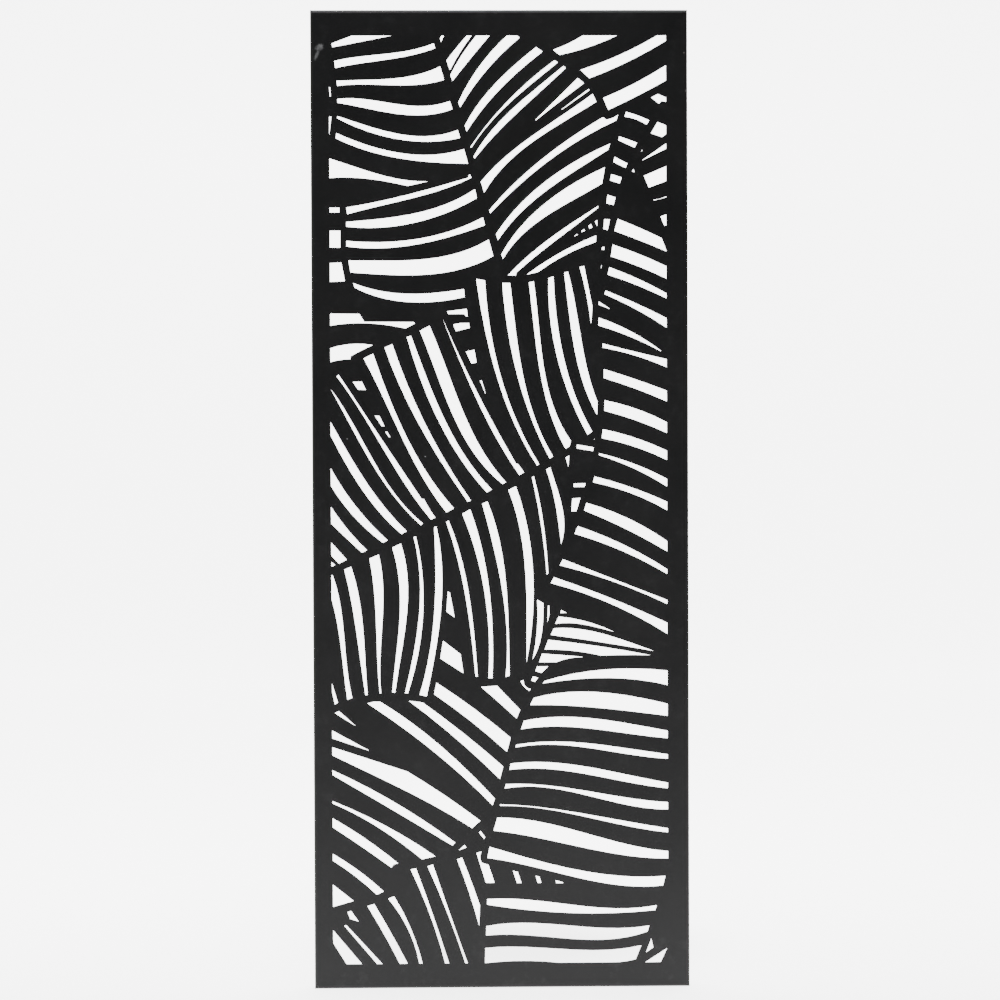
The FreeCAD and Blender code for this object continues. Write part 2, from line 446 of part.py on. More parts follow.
def pad(body, sketch, length, to_rear=False):
    """Solid raised from a sketch towards the front, or towards the rear."""
    feature = body.newObject("PartDesign::Pad", sketch.Name + "_pad")
    feature.Profile = sketch
    feature.setExpression("Length", length)
    feature.Reversed = to_rear
    doc.recompute()
    return feature


def cut(body, sketch, length, to_rear=False):
    """Pocket from a sketch towards the front, or towards the rear, that has to take material away."""
    before = body.Shape.Volume
    feature = body.newObject("PartDesign::Pocket", sketch.Name + "_cut")
    feature.Profile = sketch
    feature.setExpression("Length", length)
    feature.Reversed = not to_rear
    feature.Refine = False
    doc.recompute()
    if not feature.Shape.Volume < before:
        raise ValueError(feature.Name + " cuts nothing")
    return feature


def round_edges(body, base, name, planes, radius):
    """Fillet on the edges of the last solid that lie flat on one of the planes across Y."""
    levels = [value_of(plane) for plane in planes]
    chosen = []
    for number, edge in enumerate(base.Shape.Edges, start=1):
        box = edge.BoundBox
        if box.YLength < FLAT and any(abs(box.YMin - level) < FLAT for level in levels):
            chosen.append("Edge%d" % number)
    feature = body.newObject("PartDesign::Fillet", body.Label + "_" + name)
    feature.Base = (base, chosen)
    feature.setExpression("Radius", radius)
    doc.recompute()
    return feature


def rivet_places(side, end):
    """Four rivet places at a corner: two in the end lip and two in the side lip."""
    for along in ("sizes.rivet_near", "(sizes.plate_length - sizes.rivet_end_distance)"):
        yield from_side(side, along), from_end(end, "sizes.rivet_from_edge")
        yield from_side(side, "sizes.rivet_from_edge"), from_end(end, along)


def bumper_place(side, end):
    """Place of a corner's bumper, in the side lip."""
    return from_side(side, "sizes.bumper_from_edge"), from_end(end, "sizes.bumper_from_end")


def in_window(point):
    """Point of the leaf drawing, stretched from its own window to the panel's."""
    half_width = value_of(HALF_WIDTH)
    left = value_of("sizes.border_left") - half_width
    right = half_width - value_of("sizes.border_right")
    bottom = value_of("sizes.border_bottom")
    top = value_of("sizes.panel_height - sizes.border_top")
    across = left + (point.x - LEFT) * (right - left) / (RIGHT - LEFT)
    up = bottom + (point.y - BOTTOM) * (top - bottom) / (TOP - BOTTOM)
    return Vector(across, up, 0)


def curve_through(start, first, second, end):
    """Cubic curve that passes its four points at times in step with the distances between them."""
    lengths = [(first - start).Length, (second - first).Length, (end - second).Length]
    times = (lengths[0] / sum(lengths), (lengths[0] + lengths[1]) / sum(lengths))
    weights = [(3 * t * (1 - t) ** 2, 3 * t ** 2 * (1 - t)) for t in times]
    rests = [p - start * (1 - t) ** 3 - end * t ** 3 for p, t in zip((first, second), times)]
    (a, b), (c, d) = weights
    whole = a * d - b * c
    near = (rests[0] * d - rests[1] * b) * (1 / whole)
    far = (rests[1] * a - rests[0] * c) * (1 / whole)
    curve = Part.BezierCurve()
    curve.setPoles([start, near, far, end])
    return curve.toBSpline()


def drawn_in(outline):
    """Outline with its points moved inwards all round, from the drawn light to the cut edge."""
    points = []
    for item in outline:
        points.extend([Vector(*point) for point in item] if isinstance(item, list) else [Vector(*item)])
    pairs = list(zip(points, points[1:] + points[:1]))
    turn = 1 if sum(start.x * end.y - end.x * start.y for start, end in pairs) > 0 else -1
    inwards = []
    for start, end in pairs:
        inwards.append(Vector(start.y - end.y, end.x - start.x) * (turn / (end - start).Length))
    draw_in = value_of("sizes.slot_draw_in")
    moved = []
    for point, before, after in zip(points, inwards[-1:] + inwards[:-1], inwards):
        reach = min(1 / max(1 + before * after, FLAT), LONGEST_TIP / max((before + after).Length, FLAT))
        moved.append(point + (before + after) * (draw_in * reach))
    places = iter(moved)
    return [[next(places) for _ in item] if isinstance(item, list) else next(places) for item in outline]


def slot_sides(outline):
    """Sides of one slot: straight lines, arcs and curves between its corners."""
    outline = drawn_in(outline)
    corner = in_window(outline[0])
    passing = []
    for item in outline[1:] + outline[:1]:
        if isinstance(item, list):
            passing = [in_window(point) for point in item]
            continue
        following = in_window(item)
        if len(passing) == 2:
            yield curve_through(corner, passing[0], passing[1], following)
        elif len(passing) == 1:
            yield Part.Arc(corner, passing[0], following)
        else:
            yield Part.LineSegment(corner, following)
        corner = following
        passing = []


def build_panel():
    """Folded panel: face, returns, lips with open mitres, fixing holes and the leaf slots."""
    body = new_body("leaf_panel")
    outline = new_sketch(body, "outline", REAR_PLANE)
    left, right = "0 - " + HALF_WIDTH, HALF_WIDTH
    top = "sizes.panel_height"
    add_polygon(outline, [(left, "0"), (right, "0"), (right, top), (left, top)])
    pad(body, outline, "sizes.panel_depth")

    hollow = body.newObject("PartDesign::SubtractiveBox", "leaf_panel_hollow")
    hollow.setExpression("Length", "sizes.panel_width - 2 * sizes.sheet_gauge")
    hollow.setExpression("Width", "sizes.panel_depth - 2 * sizes.sheet_gauge")
    hollow.setExpression("Height", "sizes.panel_height - 2 * sizes.sheet_gauge")
    hollow.setExpression("Placement.Base.x", "sizes.sheet_gauge - " + HALF_WIDTH)
    hollow.setExpression("Placement.Base.y", FRONT_PLANE + " + sizes.sheet_gauge")
    hollow.setExpression("Placement.Base.z", "sizes.sheet_gauge")
    doc.recompute()
    inner_planes = (FRONT_PLANE + " + sizes.sheet_gauge", LIP_INNER_PLANE)
    inner_bends = round_edges(body, hollow, "inner_bends", inner_planes, INNER_RADIUS)
    round_edges(body, inner_bends, "outer_bends", (FRONT_PLANE, REAR_PLANE), "sizes.bend_radius")

    opening = new_sketch(body, "rear_opening", REAR_PLANE)
    left_lip, right_lip = [from_side(side, "sizes.lip_width") for side in (LEFTWARDS, RIGHTWARDS)]
    lower_lip, upper_lip = [from_end(end, "sizes.lip_width") for end in (LOWER, UPPER)]
    corners = [(left_lip, lower_lip), (right_lip, lower_lip), (right_lip, upper_lip), (left_lip, upper_lip)]
    add_polygon(opening, corners)
    cut(body, opening, HALF_DEPTH)

    mitres = new_sketch(body, "mitres", REAR_PLANE)
    half_band = "sizes.seam_gap / sqrt(2)"
    outside = "(0 - sizes.seam_gap)"
    inside = "(sizes.lip_width + sizes.seam_gap)"
    band = [
        (outside, "(%s + %s)" % (outside, half_band)),
        (inside, "(%s + %s)" % (inside, half_band)),
        ("(%s + %s)" % (inside, half_band), inside),
        ("(%s + %s)" % (outside, half_band), outside),
    ]
    for side, end in CORNERS.values():
        add_polygon(mitres, [(from_side(side, across), from_end(end, up)) for across, up in band])
    cut(body, mitres, "sizes.panel_depth - sizes.bend_radius")

    reliefs = new_sketch(body, "corner_reliefs", FRONT_PLANE)
    for side, end in CORNERS.values():
        place = from_side(side, "sizes.bend_radius"), from_end(end, "sizes.bend_radius")
        add_circle(reliefs, *place, "sizes.relief_diameter")
    cut(body, reliefs, "sizes.bend_radius", to_rear=True)

    lip_holes = new_sketch(body, "lip_holes", REAR_PLANE)
    for side, end in CORNERS.values():
        for across, up in rivet_places(side, end):
            add_circle(lip_holes, across, up, RIVET_HOLE)
        add_circle(lip_holes, *bumper_place(side, end), BUMPER_HOLE)
    cut(body, lip_holes, HALF_DEPTH)

    slots = new_sketch(body, "leaf_slots", FRONT_PLANE)
    for leaf in LEAVES.values():
        slots.addGeometry([side for outline in leaf for side in slot_sides(outline)], False)
    cut(body, slots, HALF_DEPTH, to_rear=True)
    return body


def build_corner_plate(corner, side, end):
    """L-shaped plate against the lips of one corner, with a keyhole that hangs on a wall screw."""
    body = new_body("corner_plate_" + corner)
    shape = new_sketch(body, "shape", LIP_INNER_PLANE)
    steps = [
        (PLATE_INSET, PLATE_INSET),
        ("sizes.plate_length", PLATE_INSET),
        ("sizes.plate_length", PLATE_END_LEG),
        ("sizes.plate_side_leg", PLATE_END_LEG),
        ("sizes.plate_side_leg", "sizes.plate_length"),
        (PLATE_INSET, "sizes.plate_length"),
    ]
    add_polygon(shape, [(from_side(side, across), from_end(end, up)) for across, up in steps])
    pad(body, shape, "sizes.plate_gauge")

    entry, slot_end = (TOP_ENTRY, TOP_SLOT_END) if end == UPPER else (LOW_ENTRY, LOW_SLOT_END)
    middle = from_side(side, "sizes.keyhole_inset")
    holes = new_sketch(body, "holes", LIP_INNER_PLANE)
    add_circle(holes, middle, from_end(end, entry), "sizes.keyhole_entry")
    add_circle(holes, middle, from_end(end, slot_end), "sizes.keyhole_slot")
    for across, up in rivet_places(side, end):
        add_circle(holes, across, up, RIVET_HOLE)
    cut(body, holes, "sizes.plate_gauge")

    neck = new_sketch(body, "keyhole_neck", LIP_INNER_PLANE)
    left, right = middle + " - sizes.keyhole_slot / 2", middle + " + sizes.keyhole_slot / 2"
    low, high = from_end(end, entry), from_end(end, slot_end)
    add_polygon(neck, [(left, low), (right, low), (right, high), (left, high)])
    cut(body, neck, "sizes.plate_gauge")
    return body


def build_corner_rivets(corner, side, end):
    """Four blind rivets that hold one corner plate to the lips: head, shank and set bulb."""
    body = new_body("corner_rivets_" + corner)
    places = list(rivet_places(side, end))
    heads = new_sketch(body, "heads", REAR_PLANE)
    shanks = new_sketch(body, "shanks", REAR_PLANE)
    bulbs = new_sketch(body, "bulbs", PLATE_INNER_PLANE)
    for across, up in places:
        add_circle(heads, across, up, "sizes.rivet_head")
        add_circle(shanks, across, up, "sizes.rivet_shank")
        add_circle(bulbs, across, up, "sizes.rivet_bulb")
    raised = pad(body, heads, "sizes.rivet_head_height", to_rear=True)
    head_tops = (REAR_PLANE + " + sizes.rivet_head_height",)
    round_edges(body, raised, "head_rounds", head_tops, "sizes.rivet_head_round")
    pad(body, shanks, "sizes.sheet_gauge + sizes.plate_gauge")
    pad(body, bulbs, "sizes.rivet_bulb_height")
    return body


def build_wall_bumper(corner, side, end):
    """Push-in rubber bumper: round head on the rear of the lip, stem through it and barb inside."""
    body = new_body("wall_bumper_" + corner)
    place = bumper_place(side, end)
    head = new_sketch(body, "head", REAR_PLANE)
    add_circle(head, *place, "sizes.bumper_head")
    raised = pad(body, head, "sizes.bumper_proud", to_rear=True)
    head_top = (REAR_PLANE + " + sizes.bumper_proud",)
    round_edges(body, raised, "head_round", head_top, "sizes.bumper_round")
    stem = new_sketch(body, "stem", REAR_PLANE)
    add_circle(stem, *place, "sizes.bumper_stem")
    pad(body, stem, "sizes.sheet_gauge")
    barb = new_sketch(body, "barb", LIP_INNER_PLANE)
    add_circle(barb, *place, "sizes.bumper_barb")
    pad(body, barb, "sizes.bumper_barb_height")
    return body


pieces = [build_panel()]
for corner, (side, end) in CORNERS.items():
    pieces.append(build_corner_plate(corner, side, end))
    pieces.append(build_corner_rivets(corner, side, end))
    pieces.append(build_wall_bumper(corner, side, end))
doc.recompute()

for item in doc.Objects:
    if "Invalid" in item.State or "Error" in item.State:
        raise ValueError(item.Name + " failed to build")
for piece in pieces:
    if piece.Shape.isNull() or not piece.Shape.isValid():
        raise ValueError(piece.Label + " has no sound shape")

os.makedirs("parts", exist_ok=True)
for piece in pieces:
    piece.Shape.exportStep("parts/%s.step" % piece.Label)
    print(piece.Label, len(piece.Shape.Solids), "solids", round(piece.Shape.Volume), "mm3")
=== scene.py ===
"""Scene of a folded metal panel with leaf slots: its finishes, rivet pins, studio and camera."""

import json
import logging
import math
from dataclasses import dataclass
from enum import Enum

import bmesh
import bpy
from mathutils import Matrix, Vector

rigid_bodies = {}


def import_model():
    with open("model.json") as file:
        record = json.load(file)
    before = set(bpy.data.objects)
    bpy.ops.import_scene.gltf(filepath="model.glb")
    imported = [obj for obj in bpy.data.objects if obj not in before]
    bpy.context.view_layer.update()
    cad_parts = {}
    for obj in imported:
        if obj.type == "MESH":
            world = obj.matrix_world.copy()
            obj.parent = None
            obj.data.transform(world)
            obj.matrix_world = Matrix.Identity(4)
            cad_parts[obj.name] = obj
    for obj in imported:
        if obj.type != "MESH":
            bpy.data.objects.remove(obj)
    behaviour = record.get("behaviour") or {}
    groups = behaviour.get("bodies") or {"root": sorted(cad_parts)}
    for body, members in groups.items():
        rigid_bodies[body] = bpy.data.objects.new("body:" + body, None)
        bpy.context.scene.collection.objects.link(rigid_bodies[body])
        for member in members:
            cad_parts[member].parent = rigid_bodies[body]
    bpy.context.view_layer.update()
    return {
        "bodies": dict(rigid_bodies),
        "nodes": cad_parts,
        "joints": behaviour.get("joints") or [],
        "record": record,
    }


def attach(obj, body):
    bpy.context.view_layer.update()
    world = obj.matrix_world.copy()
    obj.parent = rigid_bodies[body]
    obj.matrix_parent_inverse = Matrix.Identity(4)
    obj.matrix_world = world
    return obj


LOG = logging.getLogger("leaf_panel")
MM = 0.001
PANEL_HALF_WIDTH = 250 * MM
PANEL_HEIGHT = 1300 * MM
Colour = tuple[float, float, float, float]


class Side(Enum):
    """Left or right side of the panel, as the sign of X."""

    LEFT = -1
    RIGHT = 1


class End(Enum):
    """Top or bottom end of the panel."""

    TOP = "top"
    BOTTOM = "bottom"


class MarkKind(Enum):
    """What a small mark on the coat is."""
    # A glint is a pale spot painted on the bend: a painted highlight.

    SMUDGE = "smudge"
    GLINT = "glint"
    DUST = "dust"


class Value:
    """A number that varies over a surface: a node socket with Python's operators."""

    def __init__(self, tree: "ShaderTree", socket: bpy.types.NodeSocket) -> None:
        """Keep the tree that the socket belongs to."""
        self.tree = tree
        self.socket = socket

    def __add__(self, other: "Value | float") -> "Value":
        """Sum of two values."""
        return self.tree.math("ADD", self, other)

    __radd__ = __add__

    def __sub__(self, other: "Value | float") -> "Value":
        """This value less another."""
        return self.tree.math("SUBTRACT", self, other)

    def __rsub__(self, other: "Value | float") -> "Value":
        """Another value less this one."""
        return self.tree.math("SUBTRACT", other, self)

    def __mul__(self, other: "Value | float") -> "Value":
        """Product of two values."""
        return self.tree.math("MULTIPLY", self, other)

    __rmul__ = __mul__

    def __truediv__(self, other: "Value | float") -> "Value":
        """This value divided by another."""
        return self.tree.math("DIVIDE", self, other)

    def __lt__(self, other: "Value | float") -> "Value":
        """One where this value is the smaller, and zero elsewhere."""
        return self.tree.math("LESS_THAN", self, other)

    def size(self) -> "Value":
        """This value without its sign."""
        return self.tree.math("ABSOLUTE", self)

    def root(self) -> "Value":
        """Square root of this value."""
        return self.tree.math("SQRT", self)

    def ramp(self, start: float, end: float) -> "Value":
        """Soft step of this value.

        Args:
            start: value at which the step is zero.
            end: value at which the step is one.

        Returns:
            A value from zero to one.
        """
        node = self.tree.node(
            "ShaderNodeMapRange",
            {"interpolation_type": "SMOOTHSTEP", "clamp": True},
            {"Value": self, "From Min": start, "From Max": end, "To Min": 0.0, "To Max": 1.0},
        )
        return self.tree.value(node, "Result")

    def most(self, other: "Value | float") -> "Value":
        """The larger of two values."""
        return self.tree.math("MAXIMUM", self, other)


class ShaderTree:
    """Node tree of one material."""

    def __init__(self, name: str) -> None:
        """Start a material with an empty node tree.

        Args:
            name: the material's name.
        """
        self.material = bpy.data.materials.new(name)
        self.material.use_nodes = True
        self.tree = self.material.node_tree
        self.tree.nodes.clear()

    def feed(self, socket: bpy.types.NodeSocket, given: object) -> None:
        """Link a value or socket to an input, or set a plain number, colour or vector on it.

        Args:
            socket: the input.
            given: what it gets.
        """
        if isinstance(given, Value):
            self.tree.links.new(given.socket, socket)
        elif isinstance(given, bpy.types.NodeSocket):
            self.tree.links.new(given, socket)
        else:
            socket.default_value = given

    def node(self, kind: str, settings: dict | None = None, inputs: dict | None = None) -> bpy.types.Node:
        """Any node of the tree.

        Args:
            kind: the node's type name.
            settings: its own settings, set before its sockets.
            inputs: what its sockets get, by name or number.

        Returns:
            The node.
        """
        made = self.tree.nodes.new(kind)
        for name, setting in (settings or {}).items():
            setattr(made, name, setting)
        for name, given in (inputs or {}).items():
            self.feed(made.inputs[name], given)
        return made

    def value(self, node: bpy.types.Node, output: str) -> Value:
        """One output of a node as a value."""
        return Value(self, node.outputs[output])

    def math(self, operation: str, *operands: "Value | float") -> Value:
        """Math node on one or two values.

        Args:
            operation: the node's operation.
            operands: values or numbers.

        Returns:
            The result.
        """
        made = self.node("ShaderNodeMath", {"operation": operation}, dict(enumerate(operands)))
        return self.value(made, "Value")

    def place(self) -> tuple[bpy.types.NodeSocket, Value, Value, Value]:
        """Place on the object in metres: the vector, and its parts along X, Y and Z."""
        vector = self.node("ShaderNodeTexCoord").outputs["Object"]
        parts = self.node("ShaderNodeSeparateXYZ", None, {"Vector": vector})
        return vector, self.value(parts, "X"), self.value(parts, "Y"), self.value(parts, "Z")

    def noise(self, vector: bpy.types.NodeSocket, per_metre: float, detail: float, rough: float) -> Value:
        """Noise around one half.

        Args:
            vector: place on the object.
            per_metre: how many waves a metre has.
            detail: how many finer layers it has.
            rough: how strong the finer layers are.

        Returns:
            The noise.
        """
        inputs = {"Vector": vector, "Scale": per_metre, "Detail": detail, "Roughness": rough}
        return self.value(self.node("ShaderNodeTexNoise", None, inputs), "Fac")

    def mix(self, share: Value, first: object, second: object) -> bpy.types.NodeSocket:
        """Colour between two colours.

        Args:
            share: zero for the first and one for the second.
            first: colour or socket.
            second: colour or socket.

        Returns:
            The mixed colour's socket.
        """
        made = self.node("ShaderNodeMix", {"data_type": "RGBA", "clamp_factor": True})
        colours = [socket for socket in made.inputs if socket.type == "RGBA"]
        self.feed(made.inputs[0], share)
        self.feed(colours[0], first)
        self.feed(colours[1], second)
        return [socket for socket in made.outputs if socket.type == "RGBA"][0]

    def bump(self, height: Value, depth: float) -> bpy.types.NodeSocket:
        """Normal of a surface with small heights on it.

        Args:
            height: from zero to one.
            depth: how many metres one is.

        Returns:
            The normal's socket.
        """
        inputs = {"Height": height, "Distance": depth, "Strength": 1.0}
        return self.node("ShaderNodeBump", None, inputs).outputs["Normal"]

    def finish(self, inputs: dict) -> bpy.types.Material:
        """End the tree in a principled surface.

        Args:
            inputs: what the surface's sockets get.

        Returns:
            The material.
        """
        surface = self.node("ShaderNodeBsdfPrincipled", None, inputs)
        self.node("ShaderNodeOutputMaterial", None, {"Surface": surface.outputs["BSDF"]})
        return self.material


@dataclass(frozen=True)
class Mark:
    """A small mark on the front of the coat, in metres on the face."""

    kind: MarkKind
    across: float
    up: float
    half_length: float
    half_width: float
    turn: float = 0.0
    unevenness: float = 0.9
    full_within: float = 0.35

    def mask(self, x: Value, z: Value, wobble: Value) -> Value:
        """Where the mark is.

        Args:
            x: place across the face.
            z: place up the face.
            wobble: noise that makes its edge uneven.

        Returns:
            One in the mark's middle, falling to zero at its edge.
        """
        cosine, sine = math.cos(self.turn), math.sin(self.turn)
        along = ((x - self.across) * cosine + (z - self.up) * sine) / self.half_length
        aside = ((z - self.up) * cosine - (x - self.across) * sine) / self.half_width
        spread = (along * along + aside * aside).root() + (wobble - 0.5) * self.unevenness
        return spread.ramp(1.0, self.full_within)


@dataclass(frozen=True)
class PowderCoat:
    """Satin black powder coat on sheet metal, with thin dust, a painted highlight along its top bend and
    painted glints. Places are in metres.
    """

    name: str
    deep: Colour = (0.0038, 0.0038, 0.0040, 1.0)
    pale: Colour = (0.0066, 0.0065, 0.0067, 1.0)
    # Colour of the dust; it also paints the highlight along the top bend.
    dust: Colour = (0.16, 0.16, 0.165, 1.0)
    # Colour of the painted glints on the right bend.
    glint_colour: Colour = (0.070, 0.064, 0.062, 1.0)
    roughness: float = 0.40
    shine: float = 0.15
    cloud_per_metre: float = 7.0
    patch_per_metre: float = 55.0
    grain_per_metre: float = 900.0
    peel_per_metre: float = 225.0
    wobble_per_metre: float = 420.0
    grain_depth: float = 0.04 * MM
    patch_dust: float = 0.02
    foot_dust: float = 0.02
    foot_height: float = 120 * MM
    # Painted highlight along the top front bend: a pale band 2.6 to 4.6 mm below the top, in the dust
    # colour.
    bend_highlight: float = 0.17
    bend_highlight_low: float = PANEL_HEIGHT - 4.6 * MM
    bend_highlight_high: float = PANEL_HEIGHT - 2.6 * MM
    bend_highlight_fade: float = 0.6 * MM
    front_until: float = -6.6 * MM
    marks: tuple[Mark, ...] = ()

    def _marked(self, kind: MarkKind, x: Value, z: Value, wobble: Value) -> Value | None:
        """All marks of one kind together.

        Args:
            kind: which marks.
            x: place across the face.
            z: place up the face.
            wobble: noise for their edges.

        Returns:
            Where they are, or nothing where there are none.
        """
        found = None
        for mark in self.marks:
            if mark.kind is kind:
                mask = mark.mask(x, z, wobble)
                found = mask if found is None else found.most(mask)
        return found

    def material(self) -> bpy.types.Material:
        """The coat's material, with its grain, uneven gloss, dust, marks, and a painted highlight along
        the top bend.
        """
        tree = ShaderTree(self.name)
        vector, x, y, z = tree.place()
        cloud = tree.noise(vector, self.cloud_per_metre, 3.0, 0.6)
        patch = tree.noise(vector, self.patch_per_metre, 4.0, 0.65)
        grain = tree.noise(vector, self.grain_per_metre, 2.0, 0.55)
        peel = tree.noise(vector, self.peel_per_metre, 1.0, 0.5)
        colour = tree.mix(cloud.ramp(0.3, 0.7) * 0.6 + grain.ramp(0.35, 0.7) * 0.4, self.deep, self.pale)
        dust_and_highlight = patch.ramp(0.52, 0.8) * (self.patch_dust + self.foot_dust * z.ramp(self.foot_height, 0.0))
        # Pale band along the top bend: a painted highlight, added to the real dust.
        over_low = z.ramp(self.bend_highlight_low, self.bend_highlight_low + self.bend_highlight_fade)
        under_high = z.ramp(self.bend_highlight_high, self.bend_highlight_high - self.bend_highlight_fade)
        dust_and_highlight = dust_and_highlight + over_low * under_high * self.bend_highlight
        rough = self.roughness + (cloud - 0.5) * 0.10 + (patch - 0.5) * 0.08 + (grain - 0.5) * 0.06
        if self.marks:
            front = y < self.front_until
            wobble = tree.noise(vector, self.wobble_per_metre, 2.0, 0.6)
            smudge = self._marked(MarkKind.SMUDGE, x, z, wobble)
            dusty = self._marked(MarkKind.DUST, x, z, wobble)
            glints = self._marked(MarkKind.GLINT, x, z, wobble)
            if smudge is not None:
                dust_and_highlight = dust_and_highlight + smudge * front * (0.25 + 0.45 * patch.ramp(0.3, 0.65))
                rough = rough + smudge * front * 0.2
            if dusty is not None:
                dust_and_highlight = dust_and_highlight + dusty * front * 0.9
            # Painted glints: pale spots on the front of the right bend.
            if glints is not None:
                colour = tree.mix(glints * front, colour, self.glint_colour)
        # Dust, smudges, dust specks and the painted bend highlight all take the dust colour.
        colour = tree.mix(dust_and_highlight, colour, self.dust)
        normal = tree.bump(grain * 0.6 + peel * 0.4, self.grain_depth)
        return tree.finish(
            {
                "Base Color": colour,
                "Roughness": rough,
                "Specular IOR Level": self.shine,
                "Normal": normal,
            }
        )


@dataclass(frozen=True)
class RivetMetal:
    """Bare aluminium of a set blind rivet."""

    name: str
    bright: Colour = (0.60, 0.60, 0.61, 1.0)
    dull: Colour = (0.38, 0.38, 0.39, 1.0)
    roughness: float = 0.34
    patch_per_metre: float = 600.0
    fine_per_metre: float = 5200.0
    fine_depth: float = 0.03 * MM

    def material(self) -> bpy.types.Material:
        """The metal's material, with fine turning marks and dull patches."""
        tree = ShaderTree(self.name)
        vector, _, _, _ = tree.place()
        patch = tree.noise(vector, self.patch_per_metre, 3.0, 0.6)
        fine = tree.noise(vector, self.fine_per_metre, 2.0, 0.5)
        colour = tree.mix(patch.ramp(0.35, 0.7), self.bright, self.dull)
        rough = self.roughness + (patch - 0.5) * 0.25 + (fine - 0.5) * 0.1
        normal = tree.bump(fine * 0.5 + patch * 0.5, self.fine_depth)
        return tree.finish({"Base Color": colour, "Metallic": 1.0, "Roughness": rough, "Normal": normal})


@dataclass(frozen=True)
class BumperRubber:
    """Matt black moulded rubber."""

    name: str
    deep: Colour = (0.010, 0.010, 0.010, 1.0)
    bloom: Colour = (0.045, 0.044, 0.043, 1.0)
    roughness: float = 0.72
    bloom_per_metre: float = 320.0
    fine_per_metre: float = 3400.0
    fine_depth: float = 0.06 * MM

    def material(self) -> bpy.types.Material:
        """The rubber's material, with its pale bloom and fine mould texture."""
        tree = ShaderTree(self.name)
        vector, _, _, _ = tree.place()
        bloom = tree.noise(vector, self.bloom_per_metre, 4.0, 0.65)
        fine = tree.noise(vector, self.fine_per_metre, 2.0, 0.5)
        colour = tree.mix(bloom.ramp(0.45, 0.8), self.deep, self.bloom)
        rough = self.roughness + (bloom - 0.5) * 0.2
        normal = tree.bump(fine, self.fine_depth)
        return tree.finish({"Base Color": colour, "Roughness": rough, "Normal": normal})


@dataclass(frozen=True)
class StudioPaper:
    """Pale seamless paper of the studio, which glows around and behind the panel. Places are in metres."""

    name: str
    colour: Colour = (0.86, 0.86, 0.86, 1.0)
    unlit: Colour = (0.0, 0.0, 0.0, 1.0)
    lit: Colour = (1.0, 1.0, 1.0, 1.0)
    roughness: float = 0.9
    shine: float = 0.1
    glow: float = 5.0
    glow_start: float = -2.60
    glow_full: float = 1.00
    glow_half_width: float = 2.20
    glow_height: float = 2.80
    glow_fade: float = 3.50
    foot_centre: tuple[float, float] = (0.03, 0.28)
    foot_half: tuple[float, float] = (0.36, 0.30)
    foot_shade: float = 0.45

    def material(self) -> bpy.types.Material:
        """The paper's material, with its soft glow behind the panel and the shade at the panel's foot."""
        tree = ShaderTree(self.name)
        _, x, y, z = tree.place()
        inside = x.size().ramp(self.glow_half_width + self.glow_fade, self.glow_half_width)
        below = z.ramp(self.glow_height + self.glow_fade, self.glow_height)
        across = (x - self.foot_centre[0]) / self.foot_half[0]
        behind = (y - self.foot_centre[1]) / self.foot_half[1]
        foot = (across * across + behind * behind).root().ramp(1.0, 0.2)
        share = y.ramp(self.glow_start, self.glow_full) * inside * below * (1 - foot * self.foot_shade)
        inputs = {
            "Base Color": self.colour,
            "Roughness": self.roughness,
            "Specular IOR Level": self.shine,
            "Emission Color": tree.mix(share, self.unlit, self.lit),
            "Emission Strength": self.glow,
        }
        return tree.finish(inputs)


def dress(piece: bpy.types.Object, material: bpy.types.Material) -> None:
    """Give a piece one material in place of what it has.

    Args:
        piece: the object.
        material: its new material.
    """
    piece.data.materials.clear()
    piece.data.materials.append(material)


@dataclass
class LeafPanel:
    """The folded sheet with its leaf slots."""

    node: str
    coat: PowderCoat

    def dress(self, frame: dict) -> bpy.types.Object:
        """Give the sheet its coat.

        Args:
            frame: the loaded model.

        Returns:
            The sheet's object.
        """
        piece = frame["nodes"][self.node]
        dress(piece, self.coat.material())
        return piece


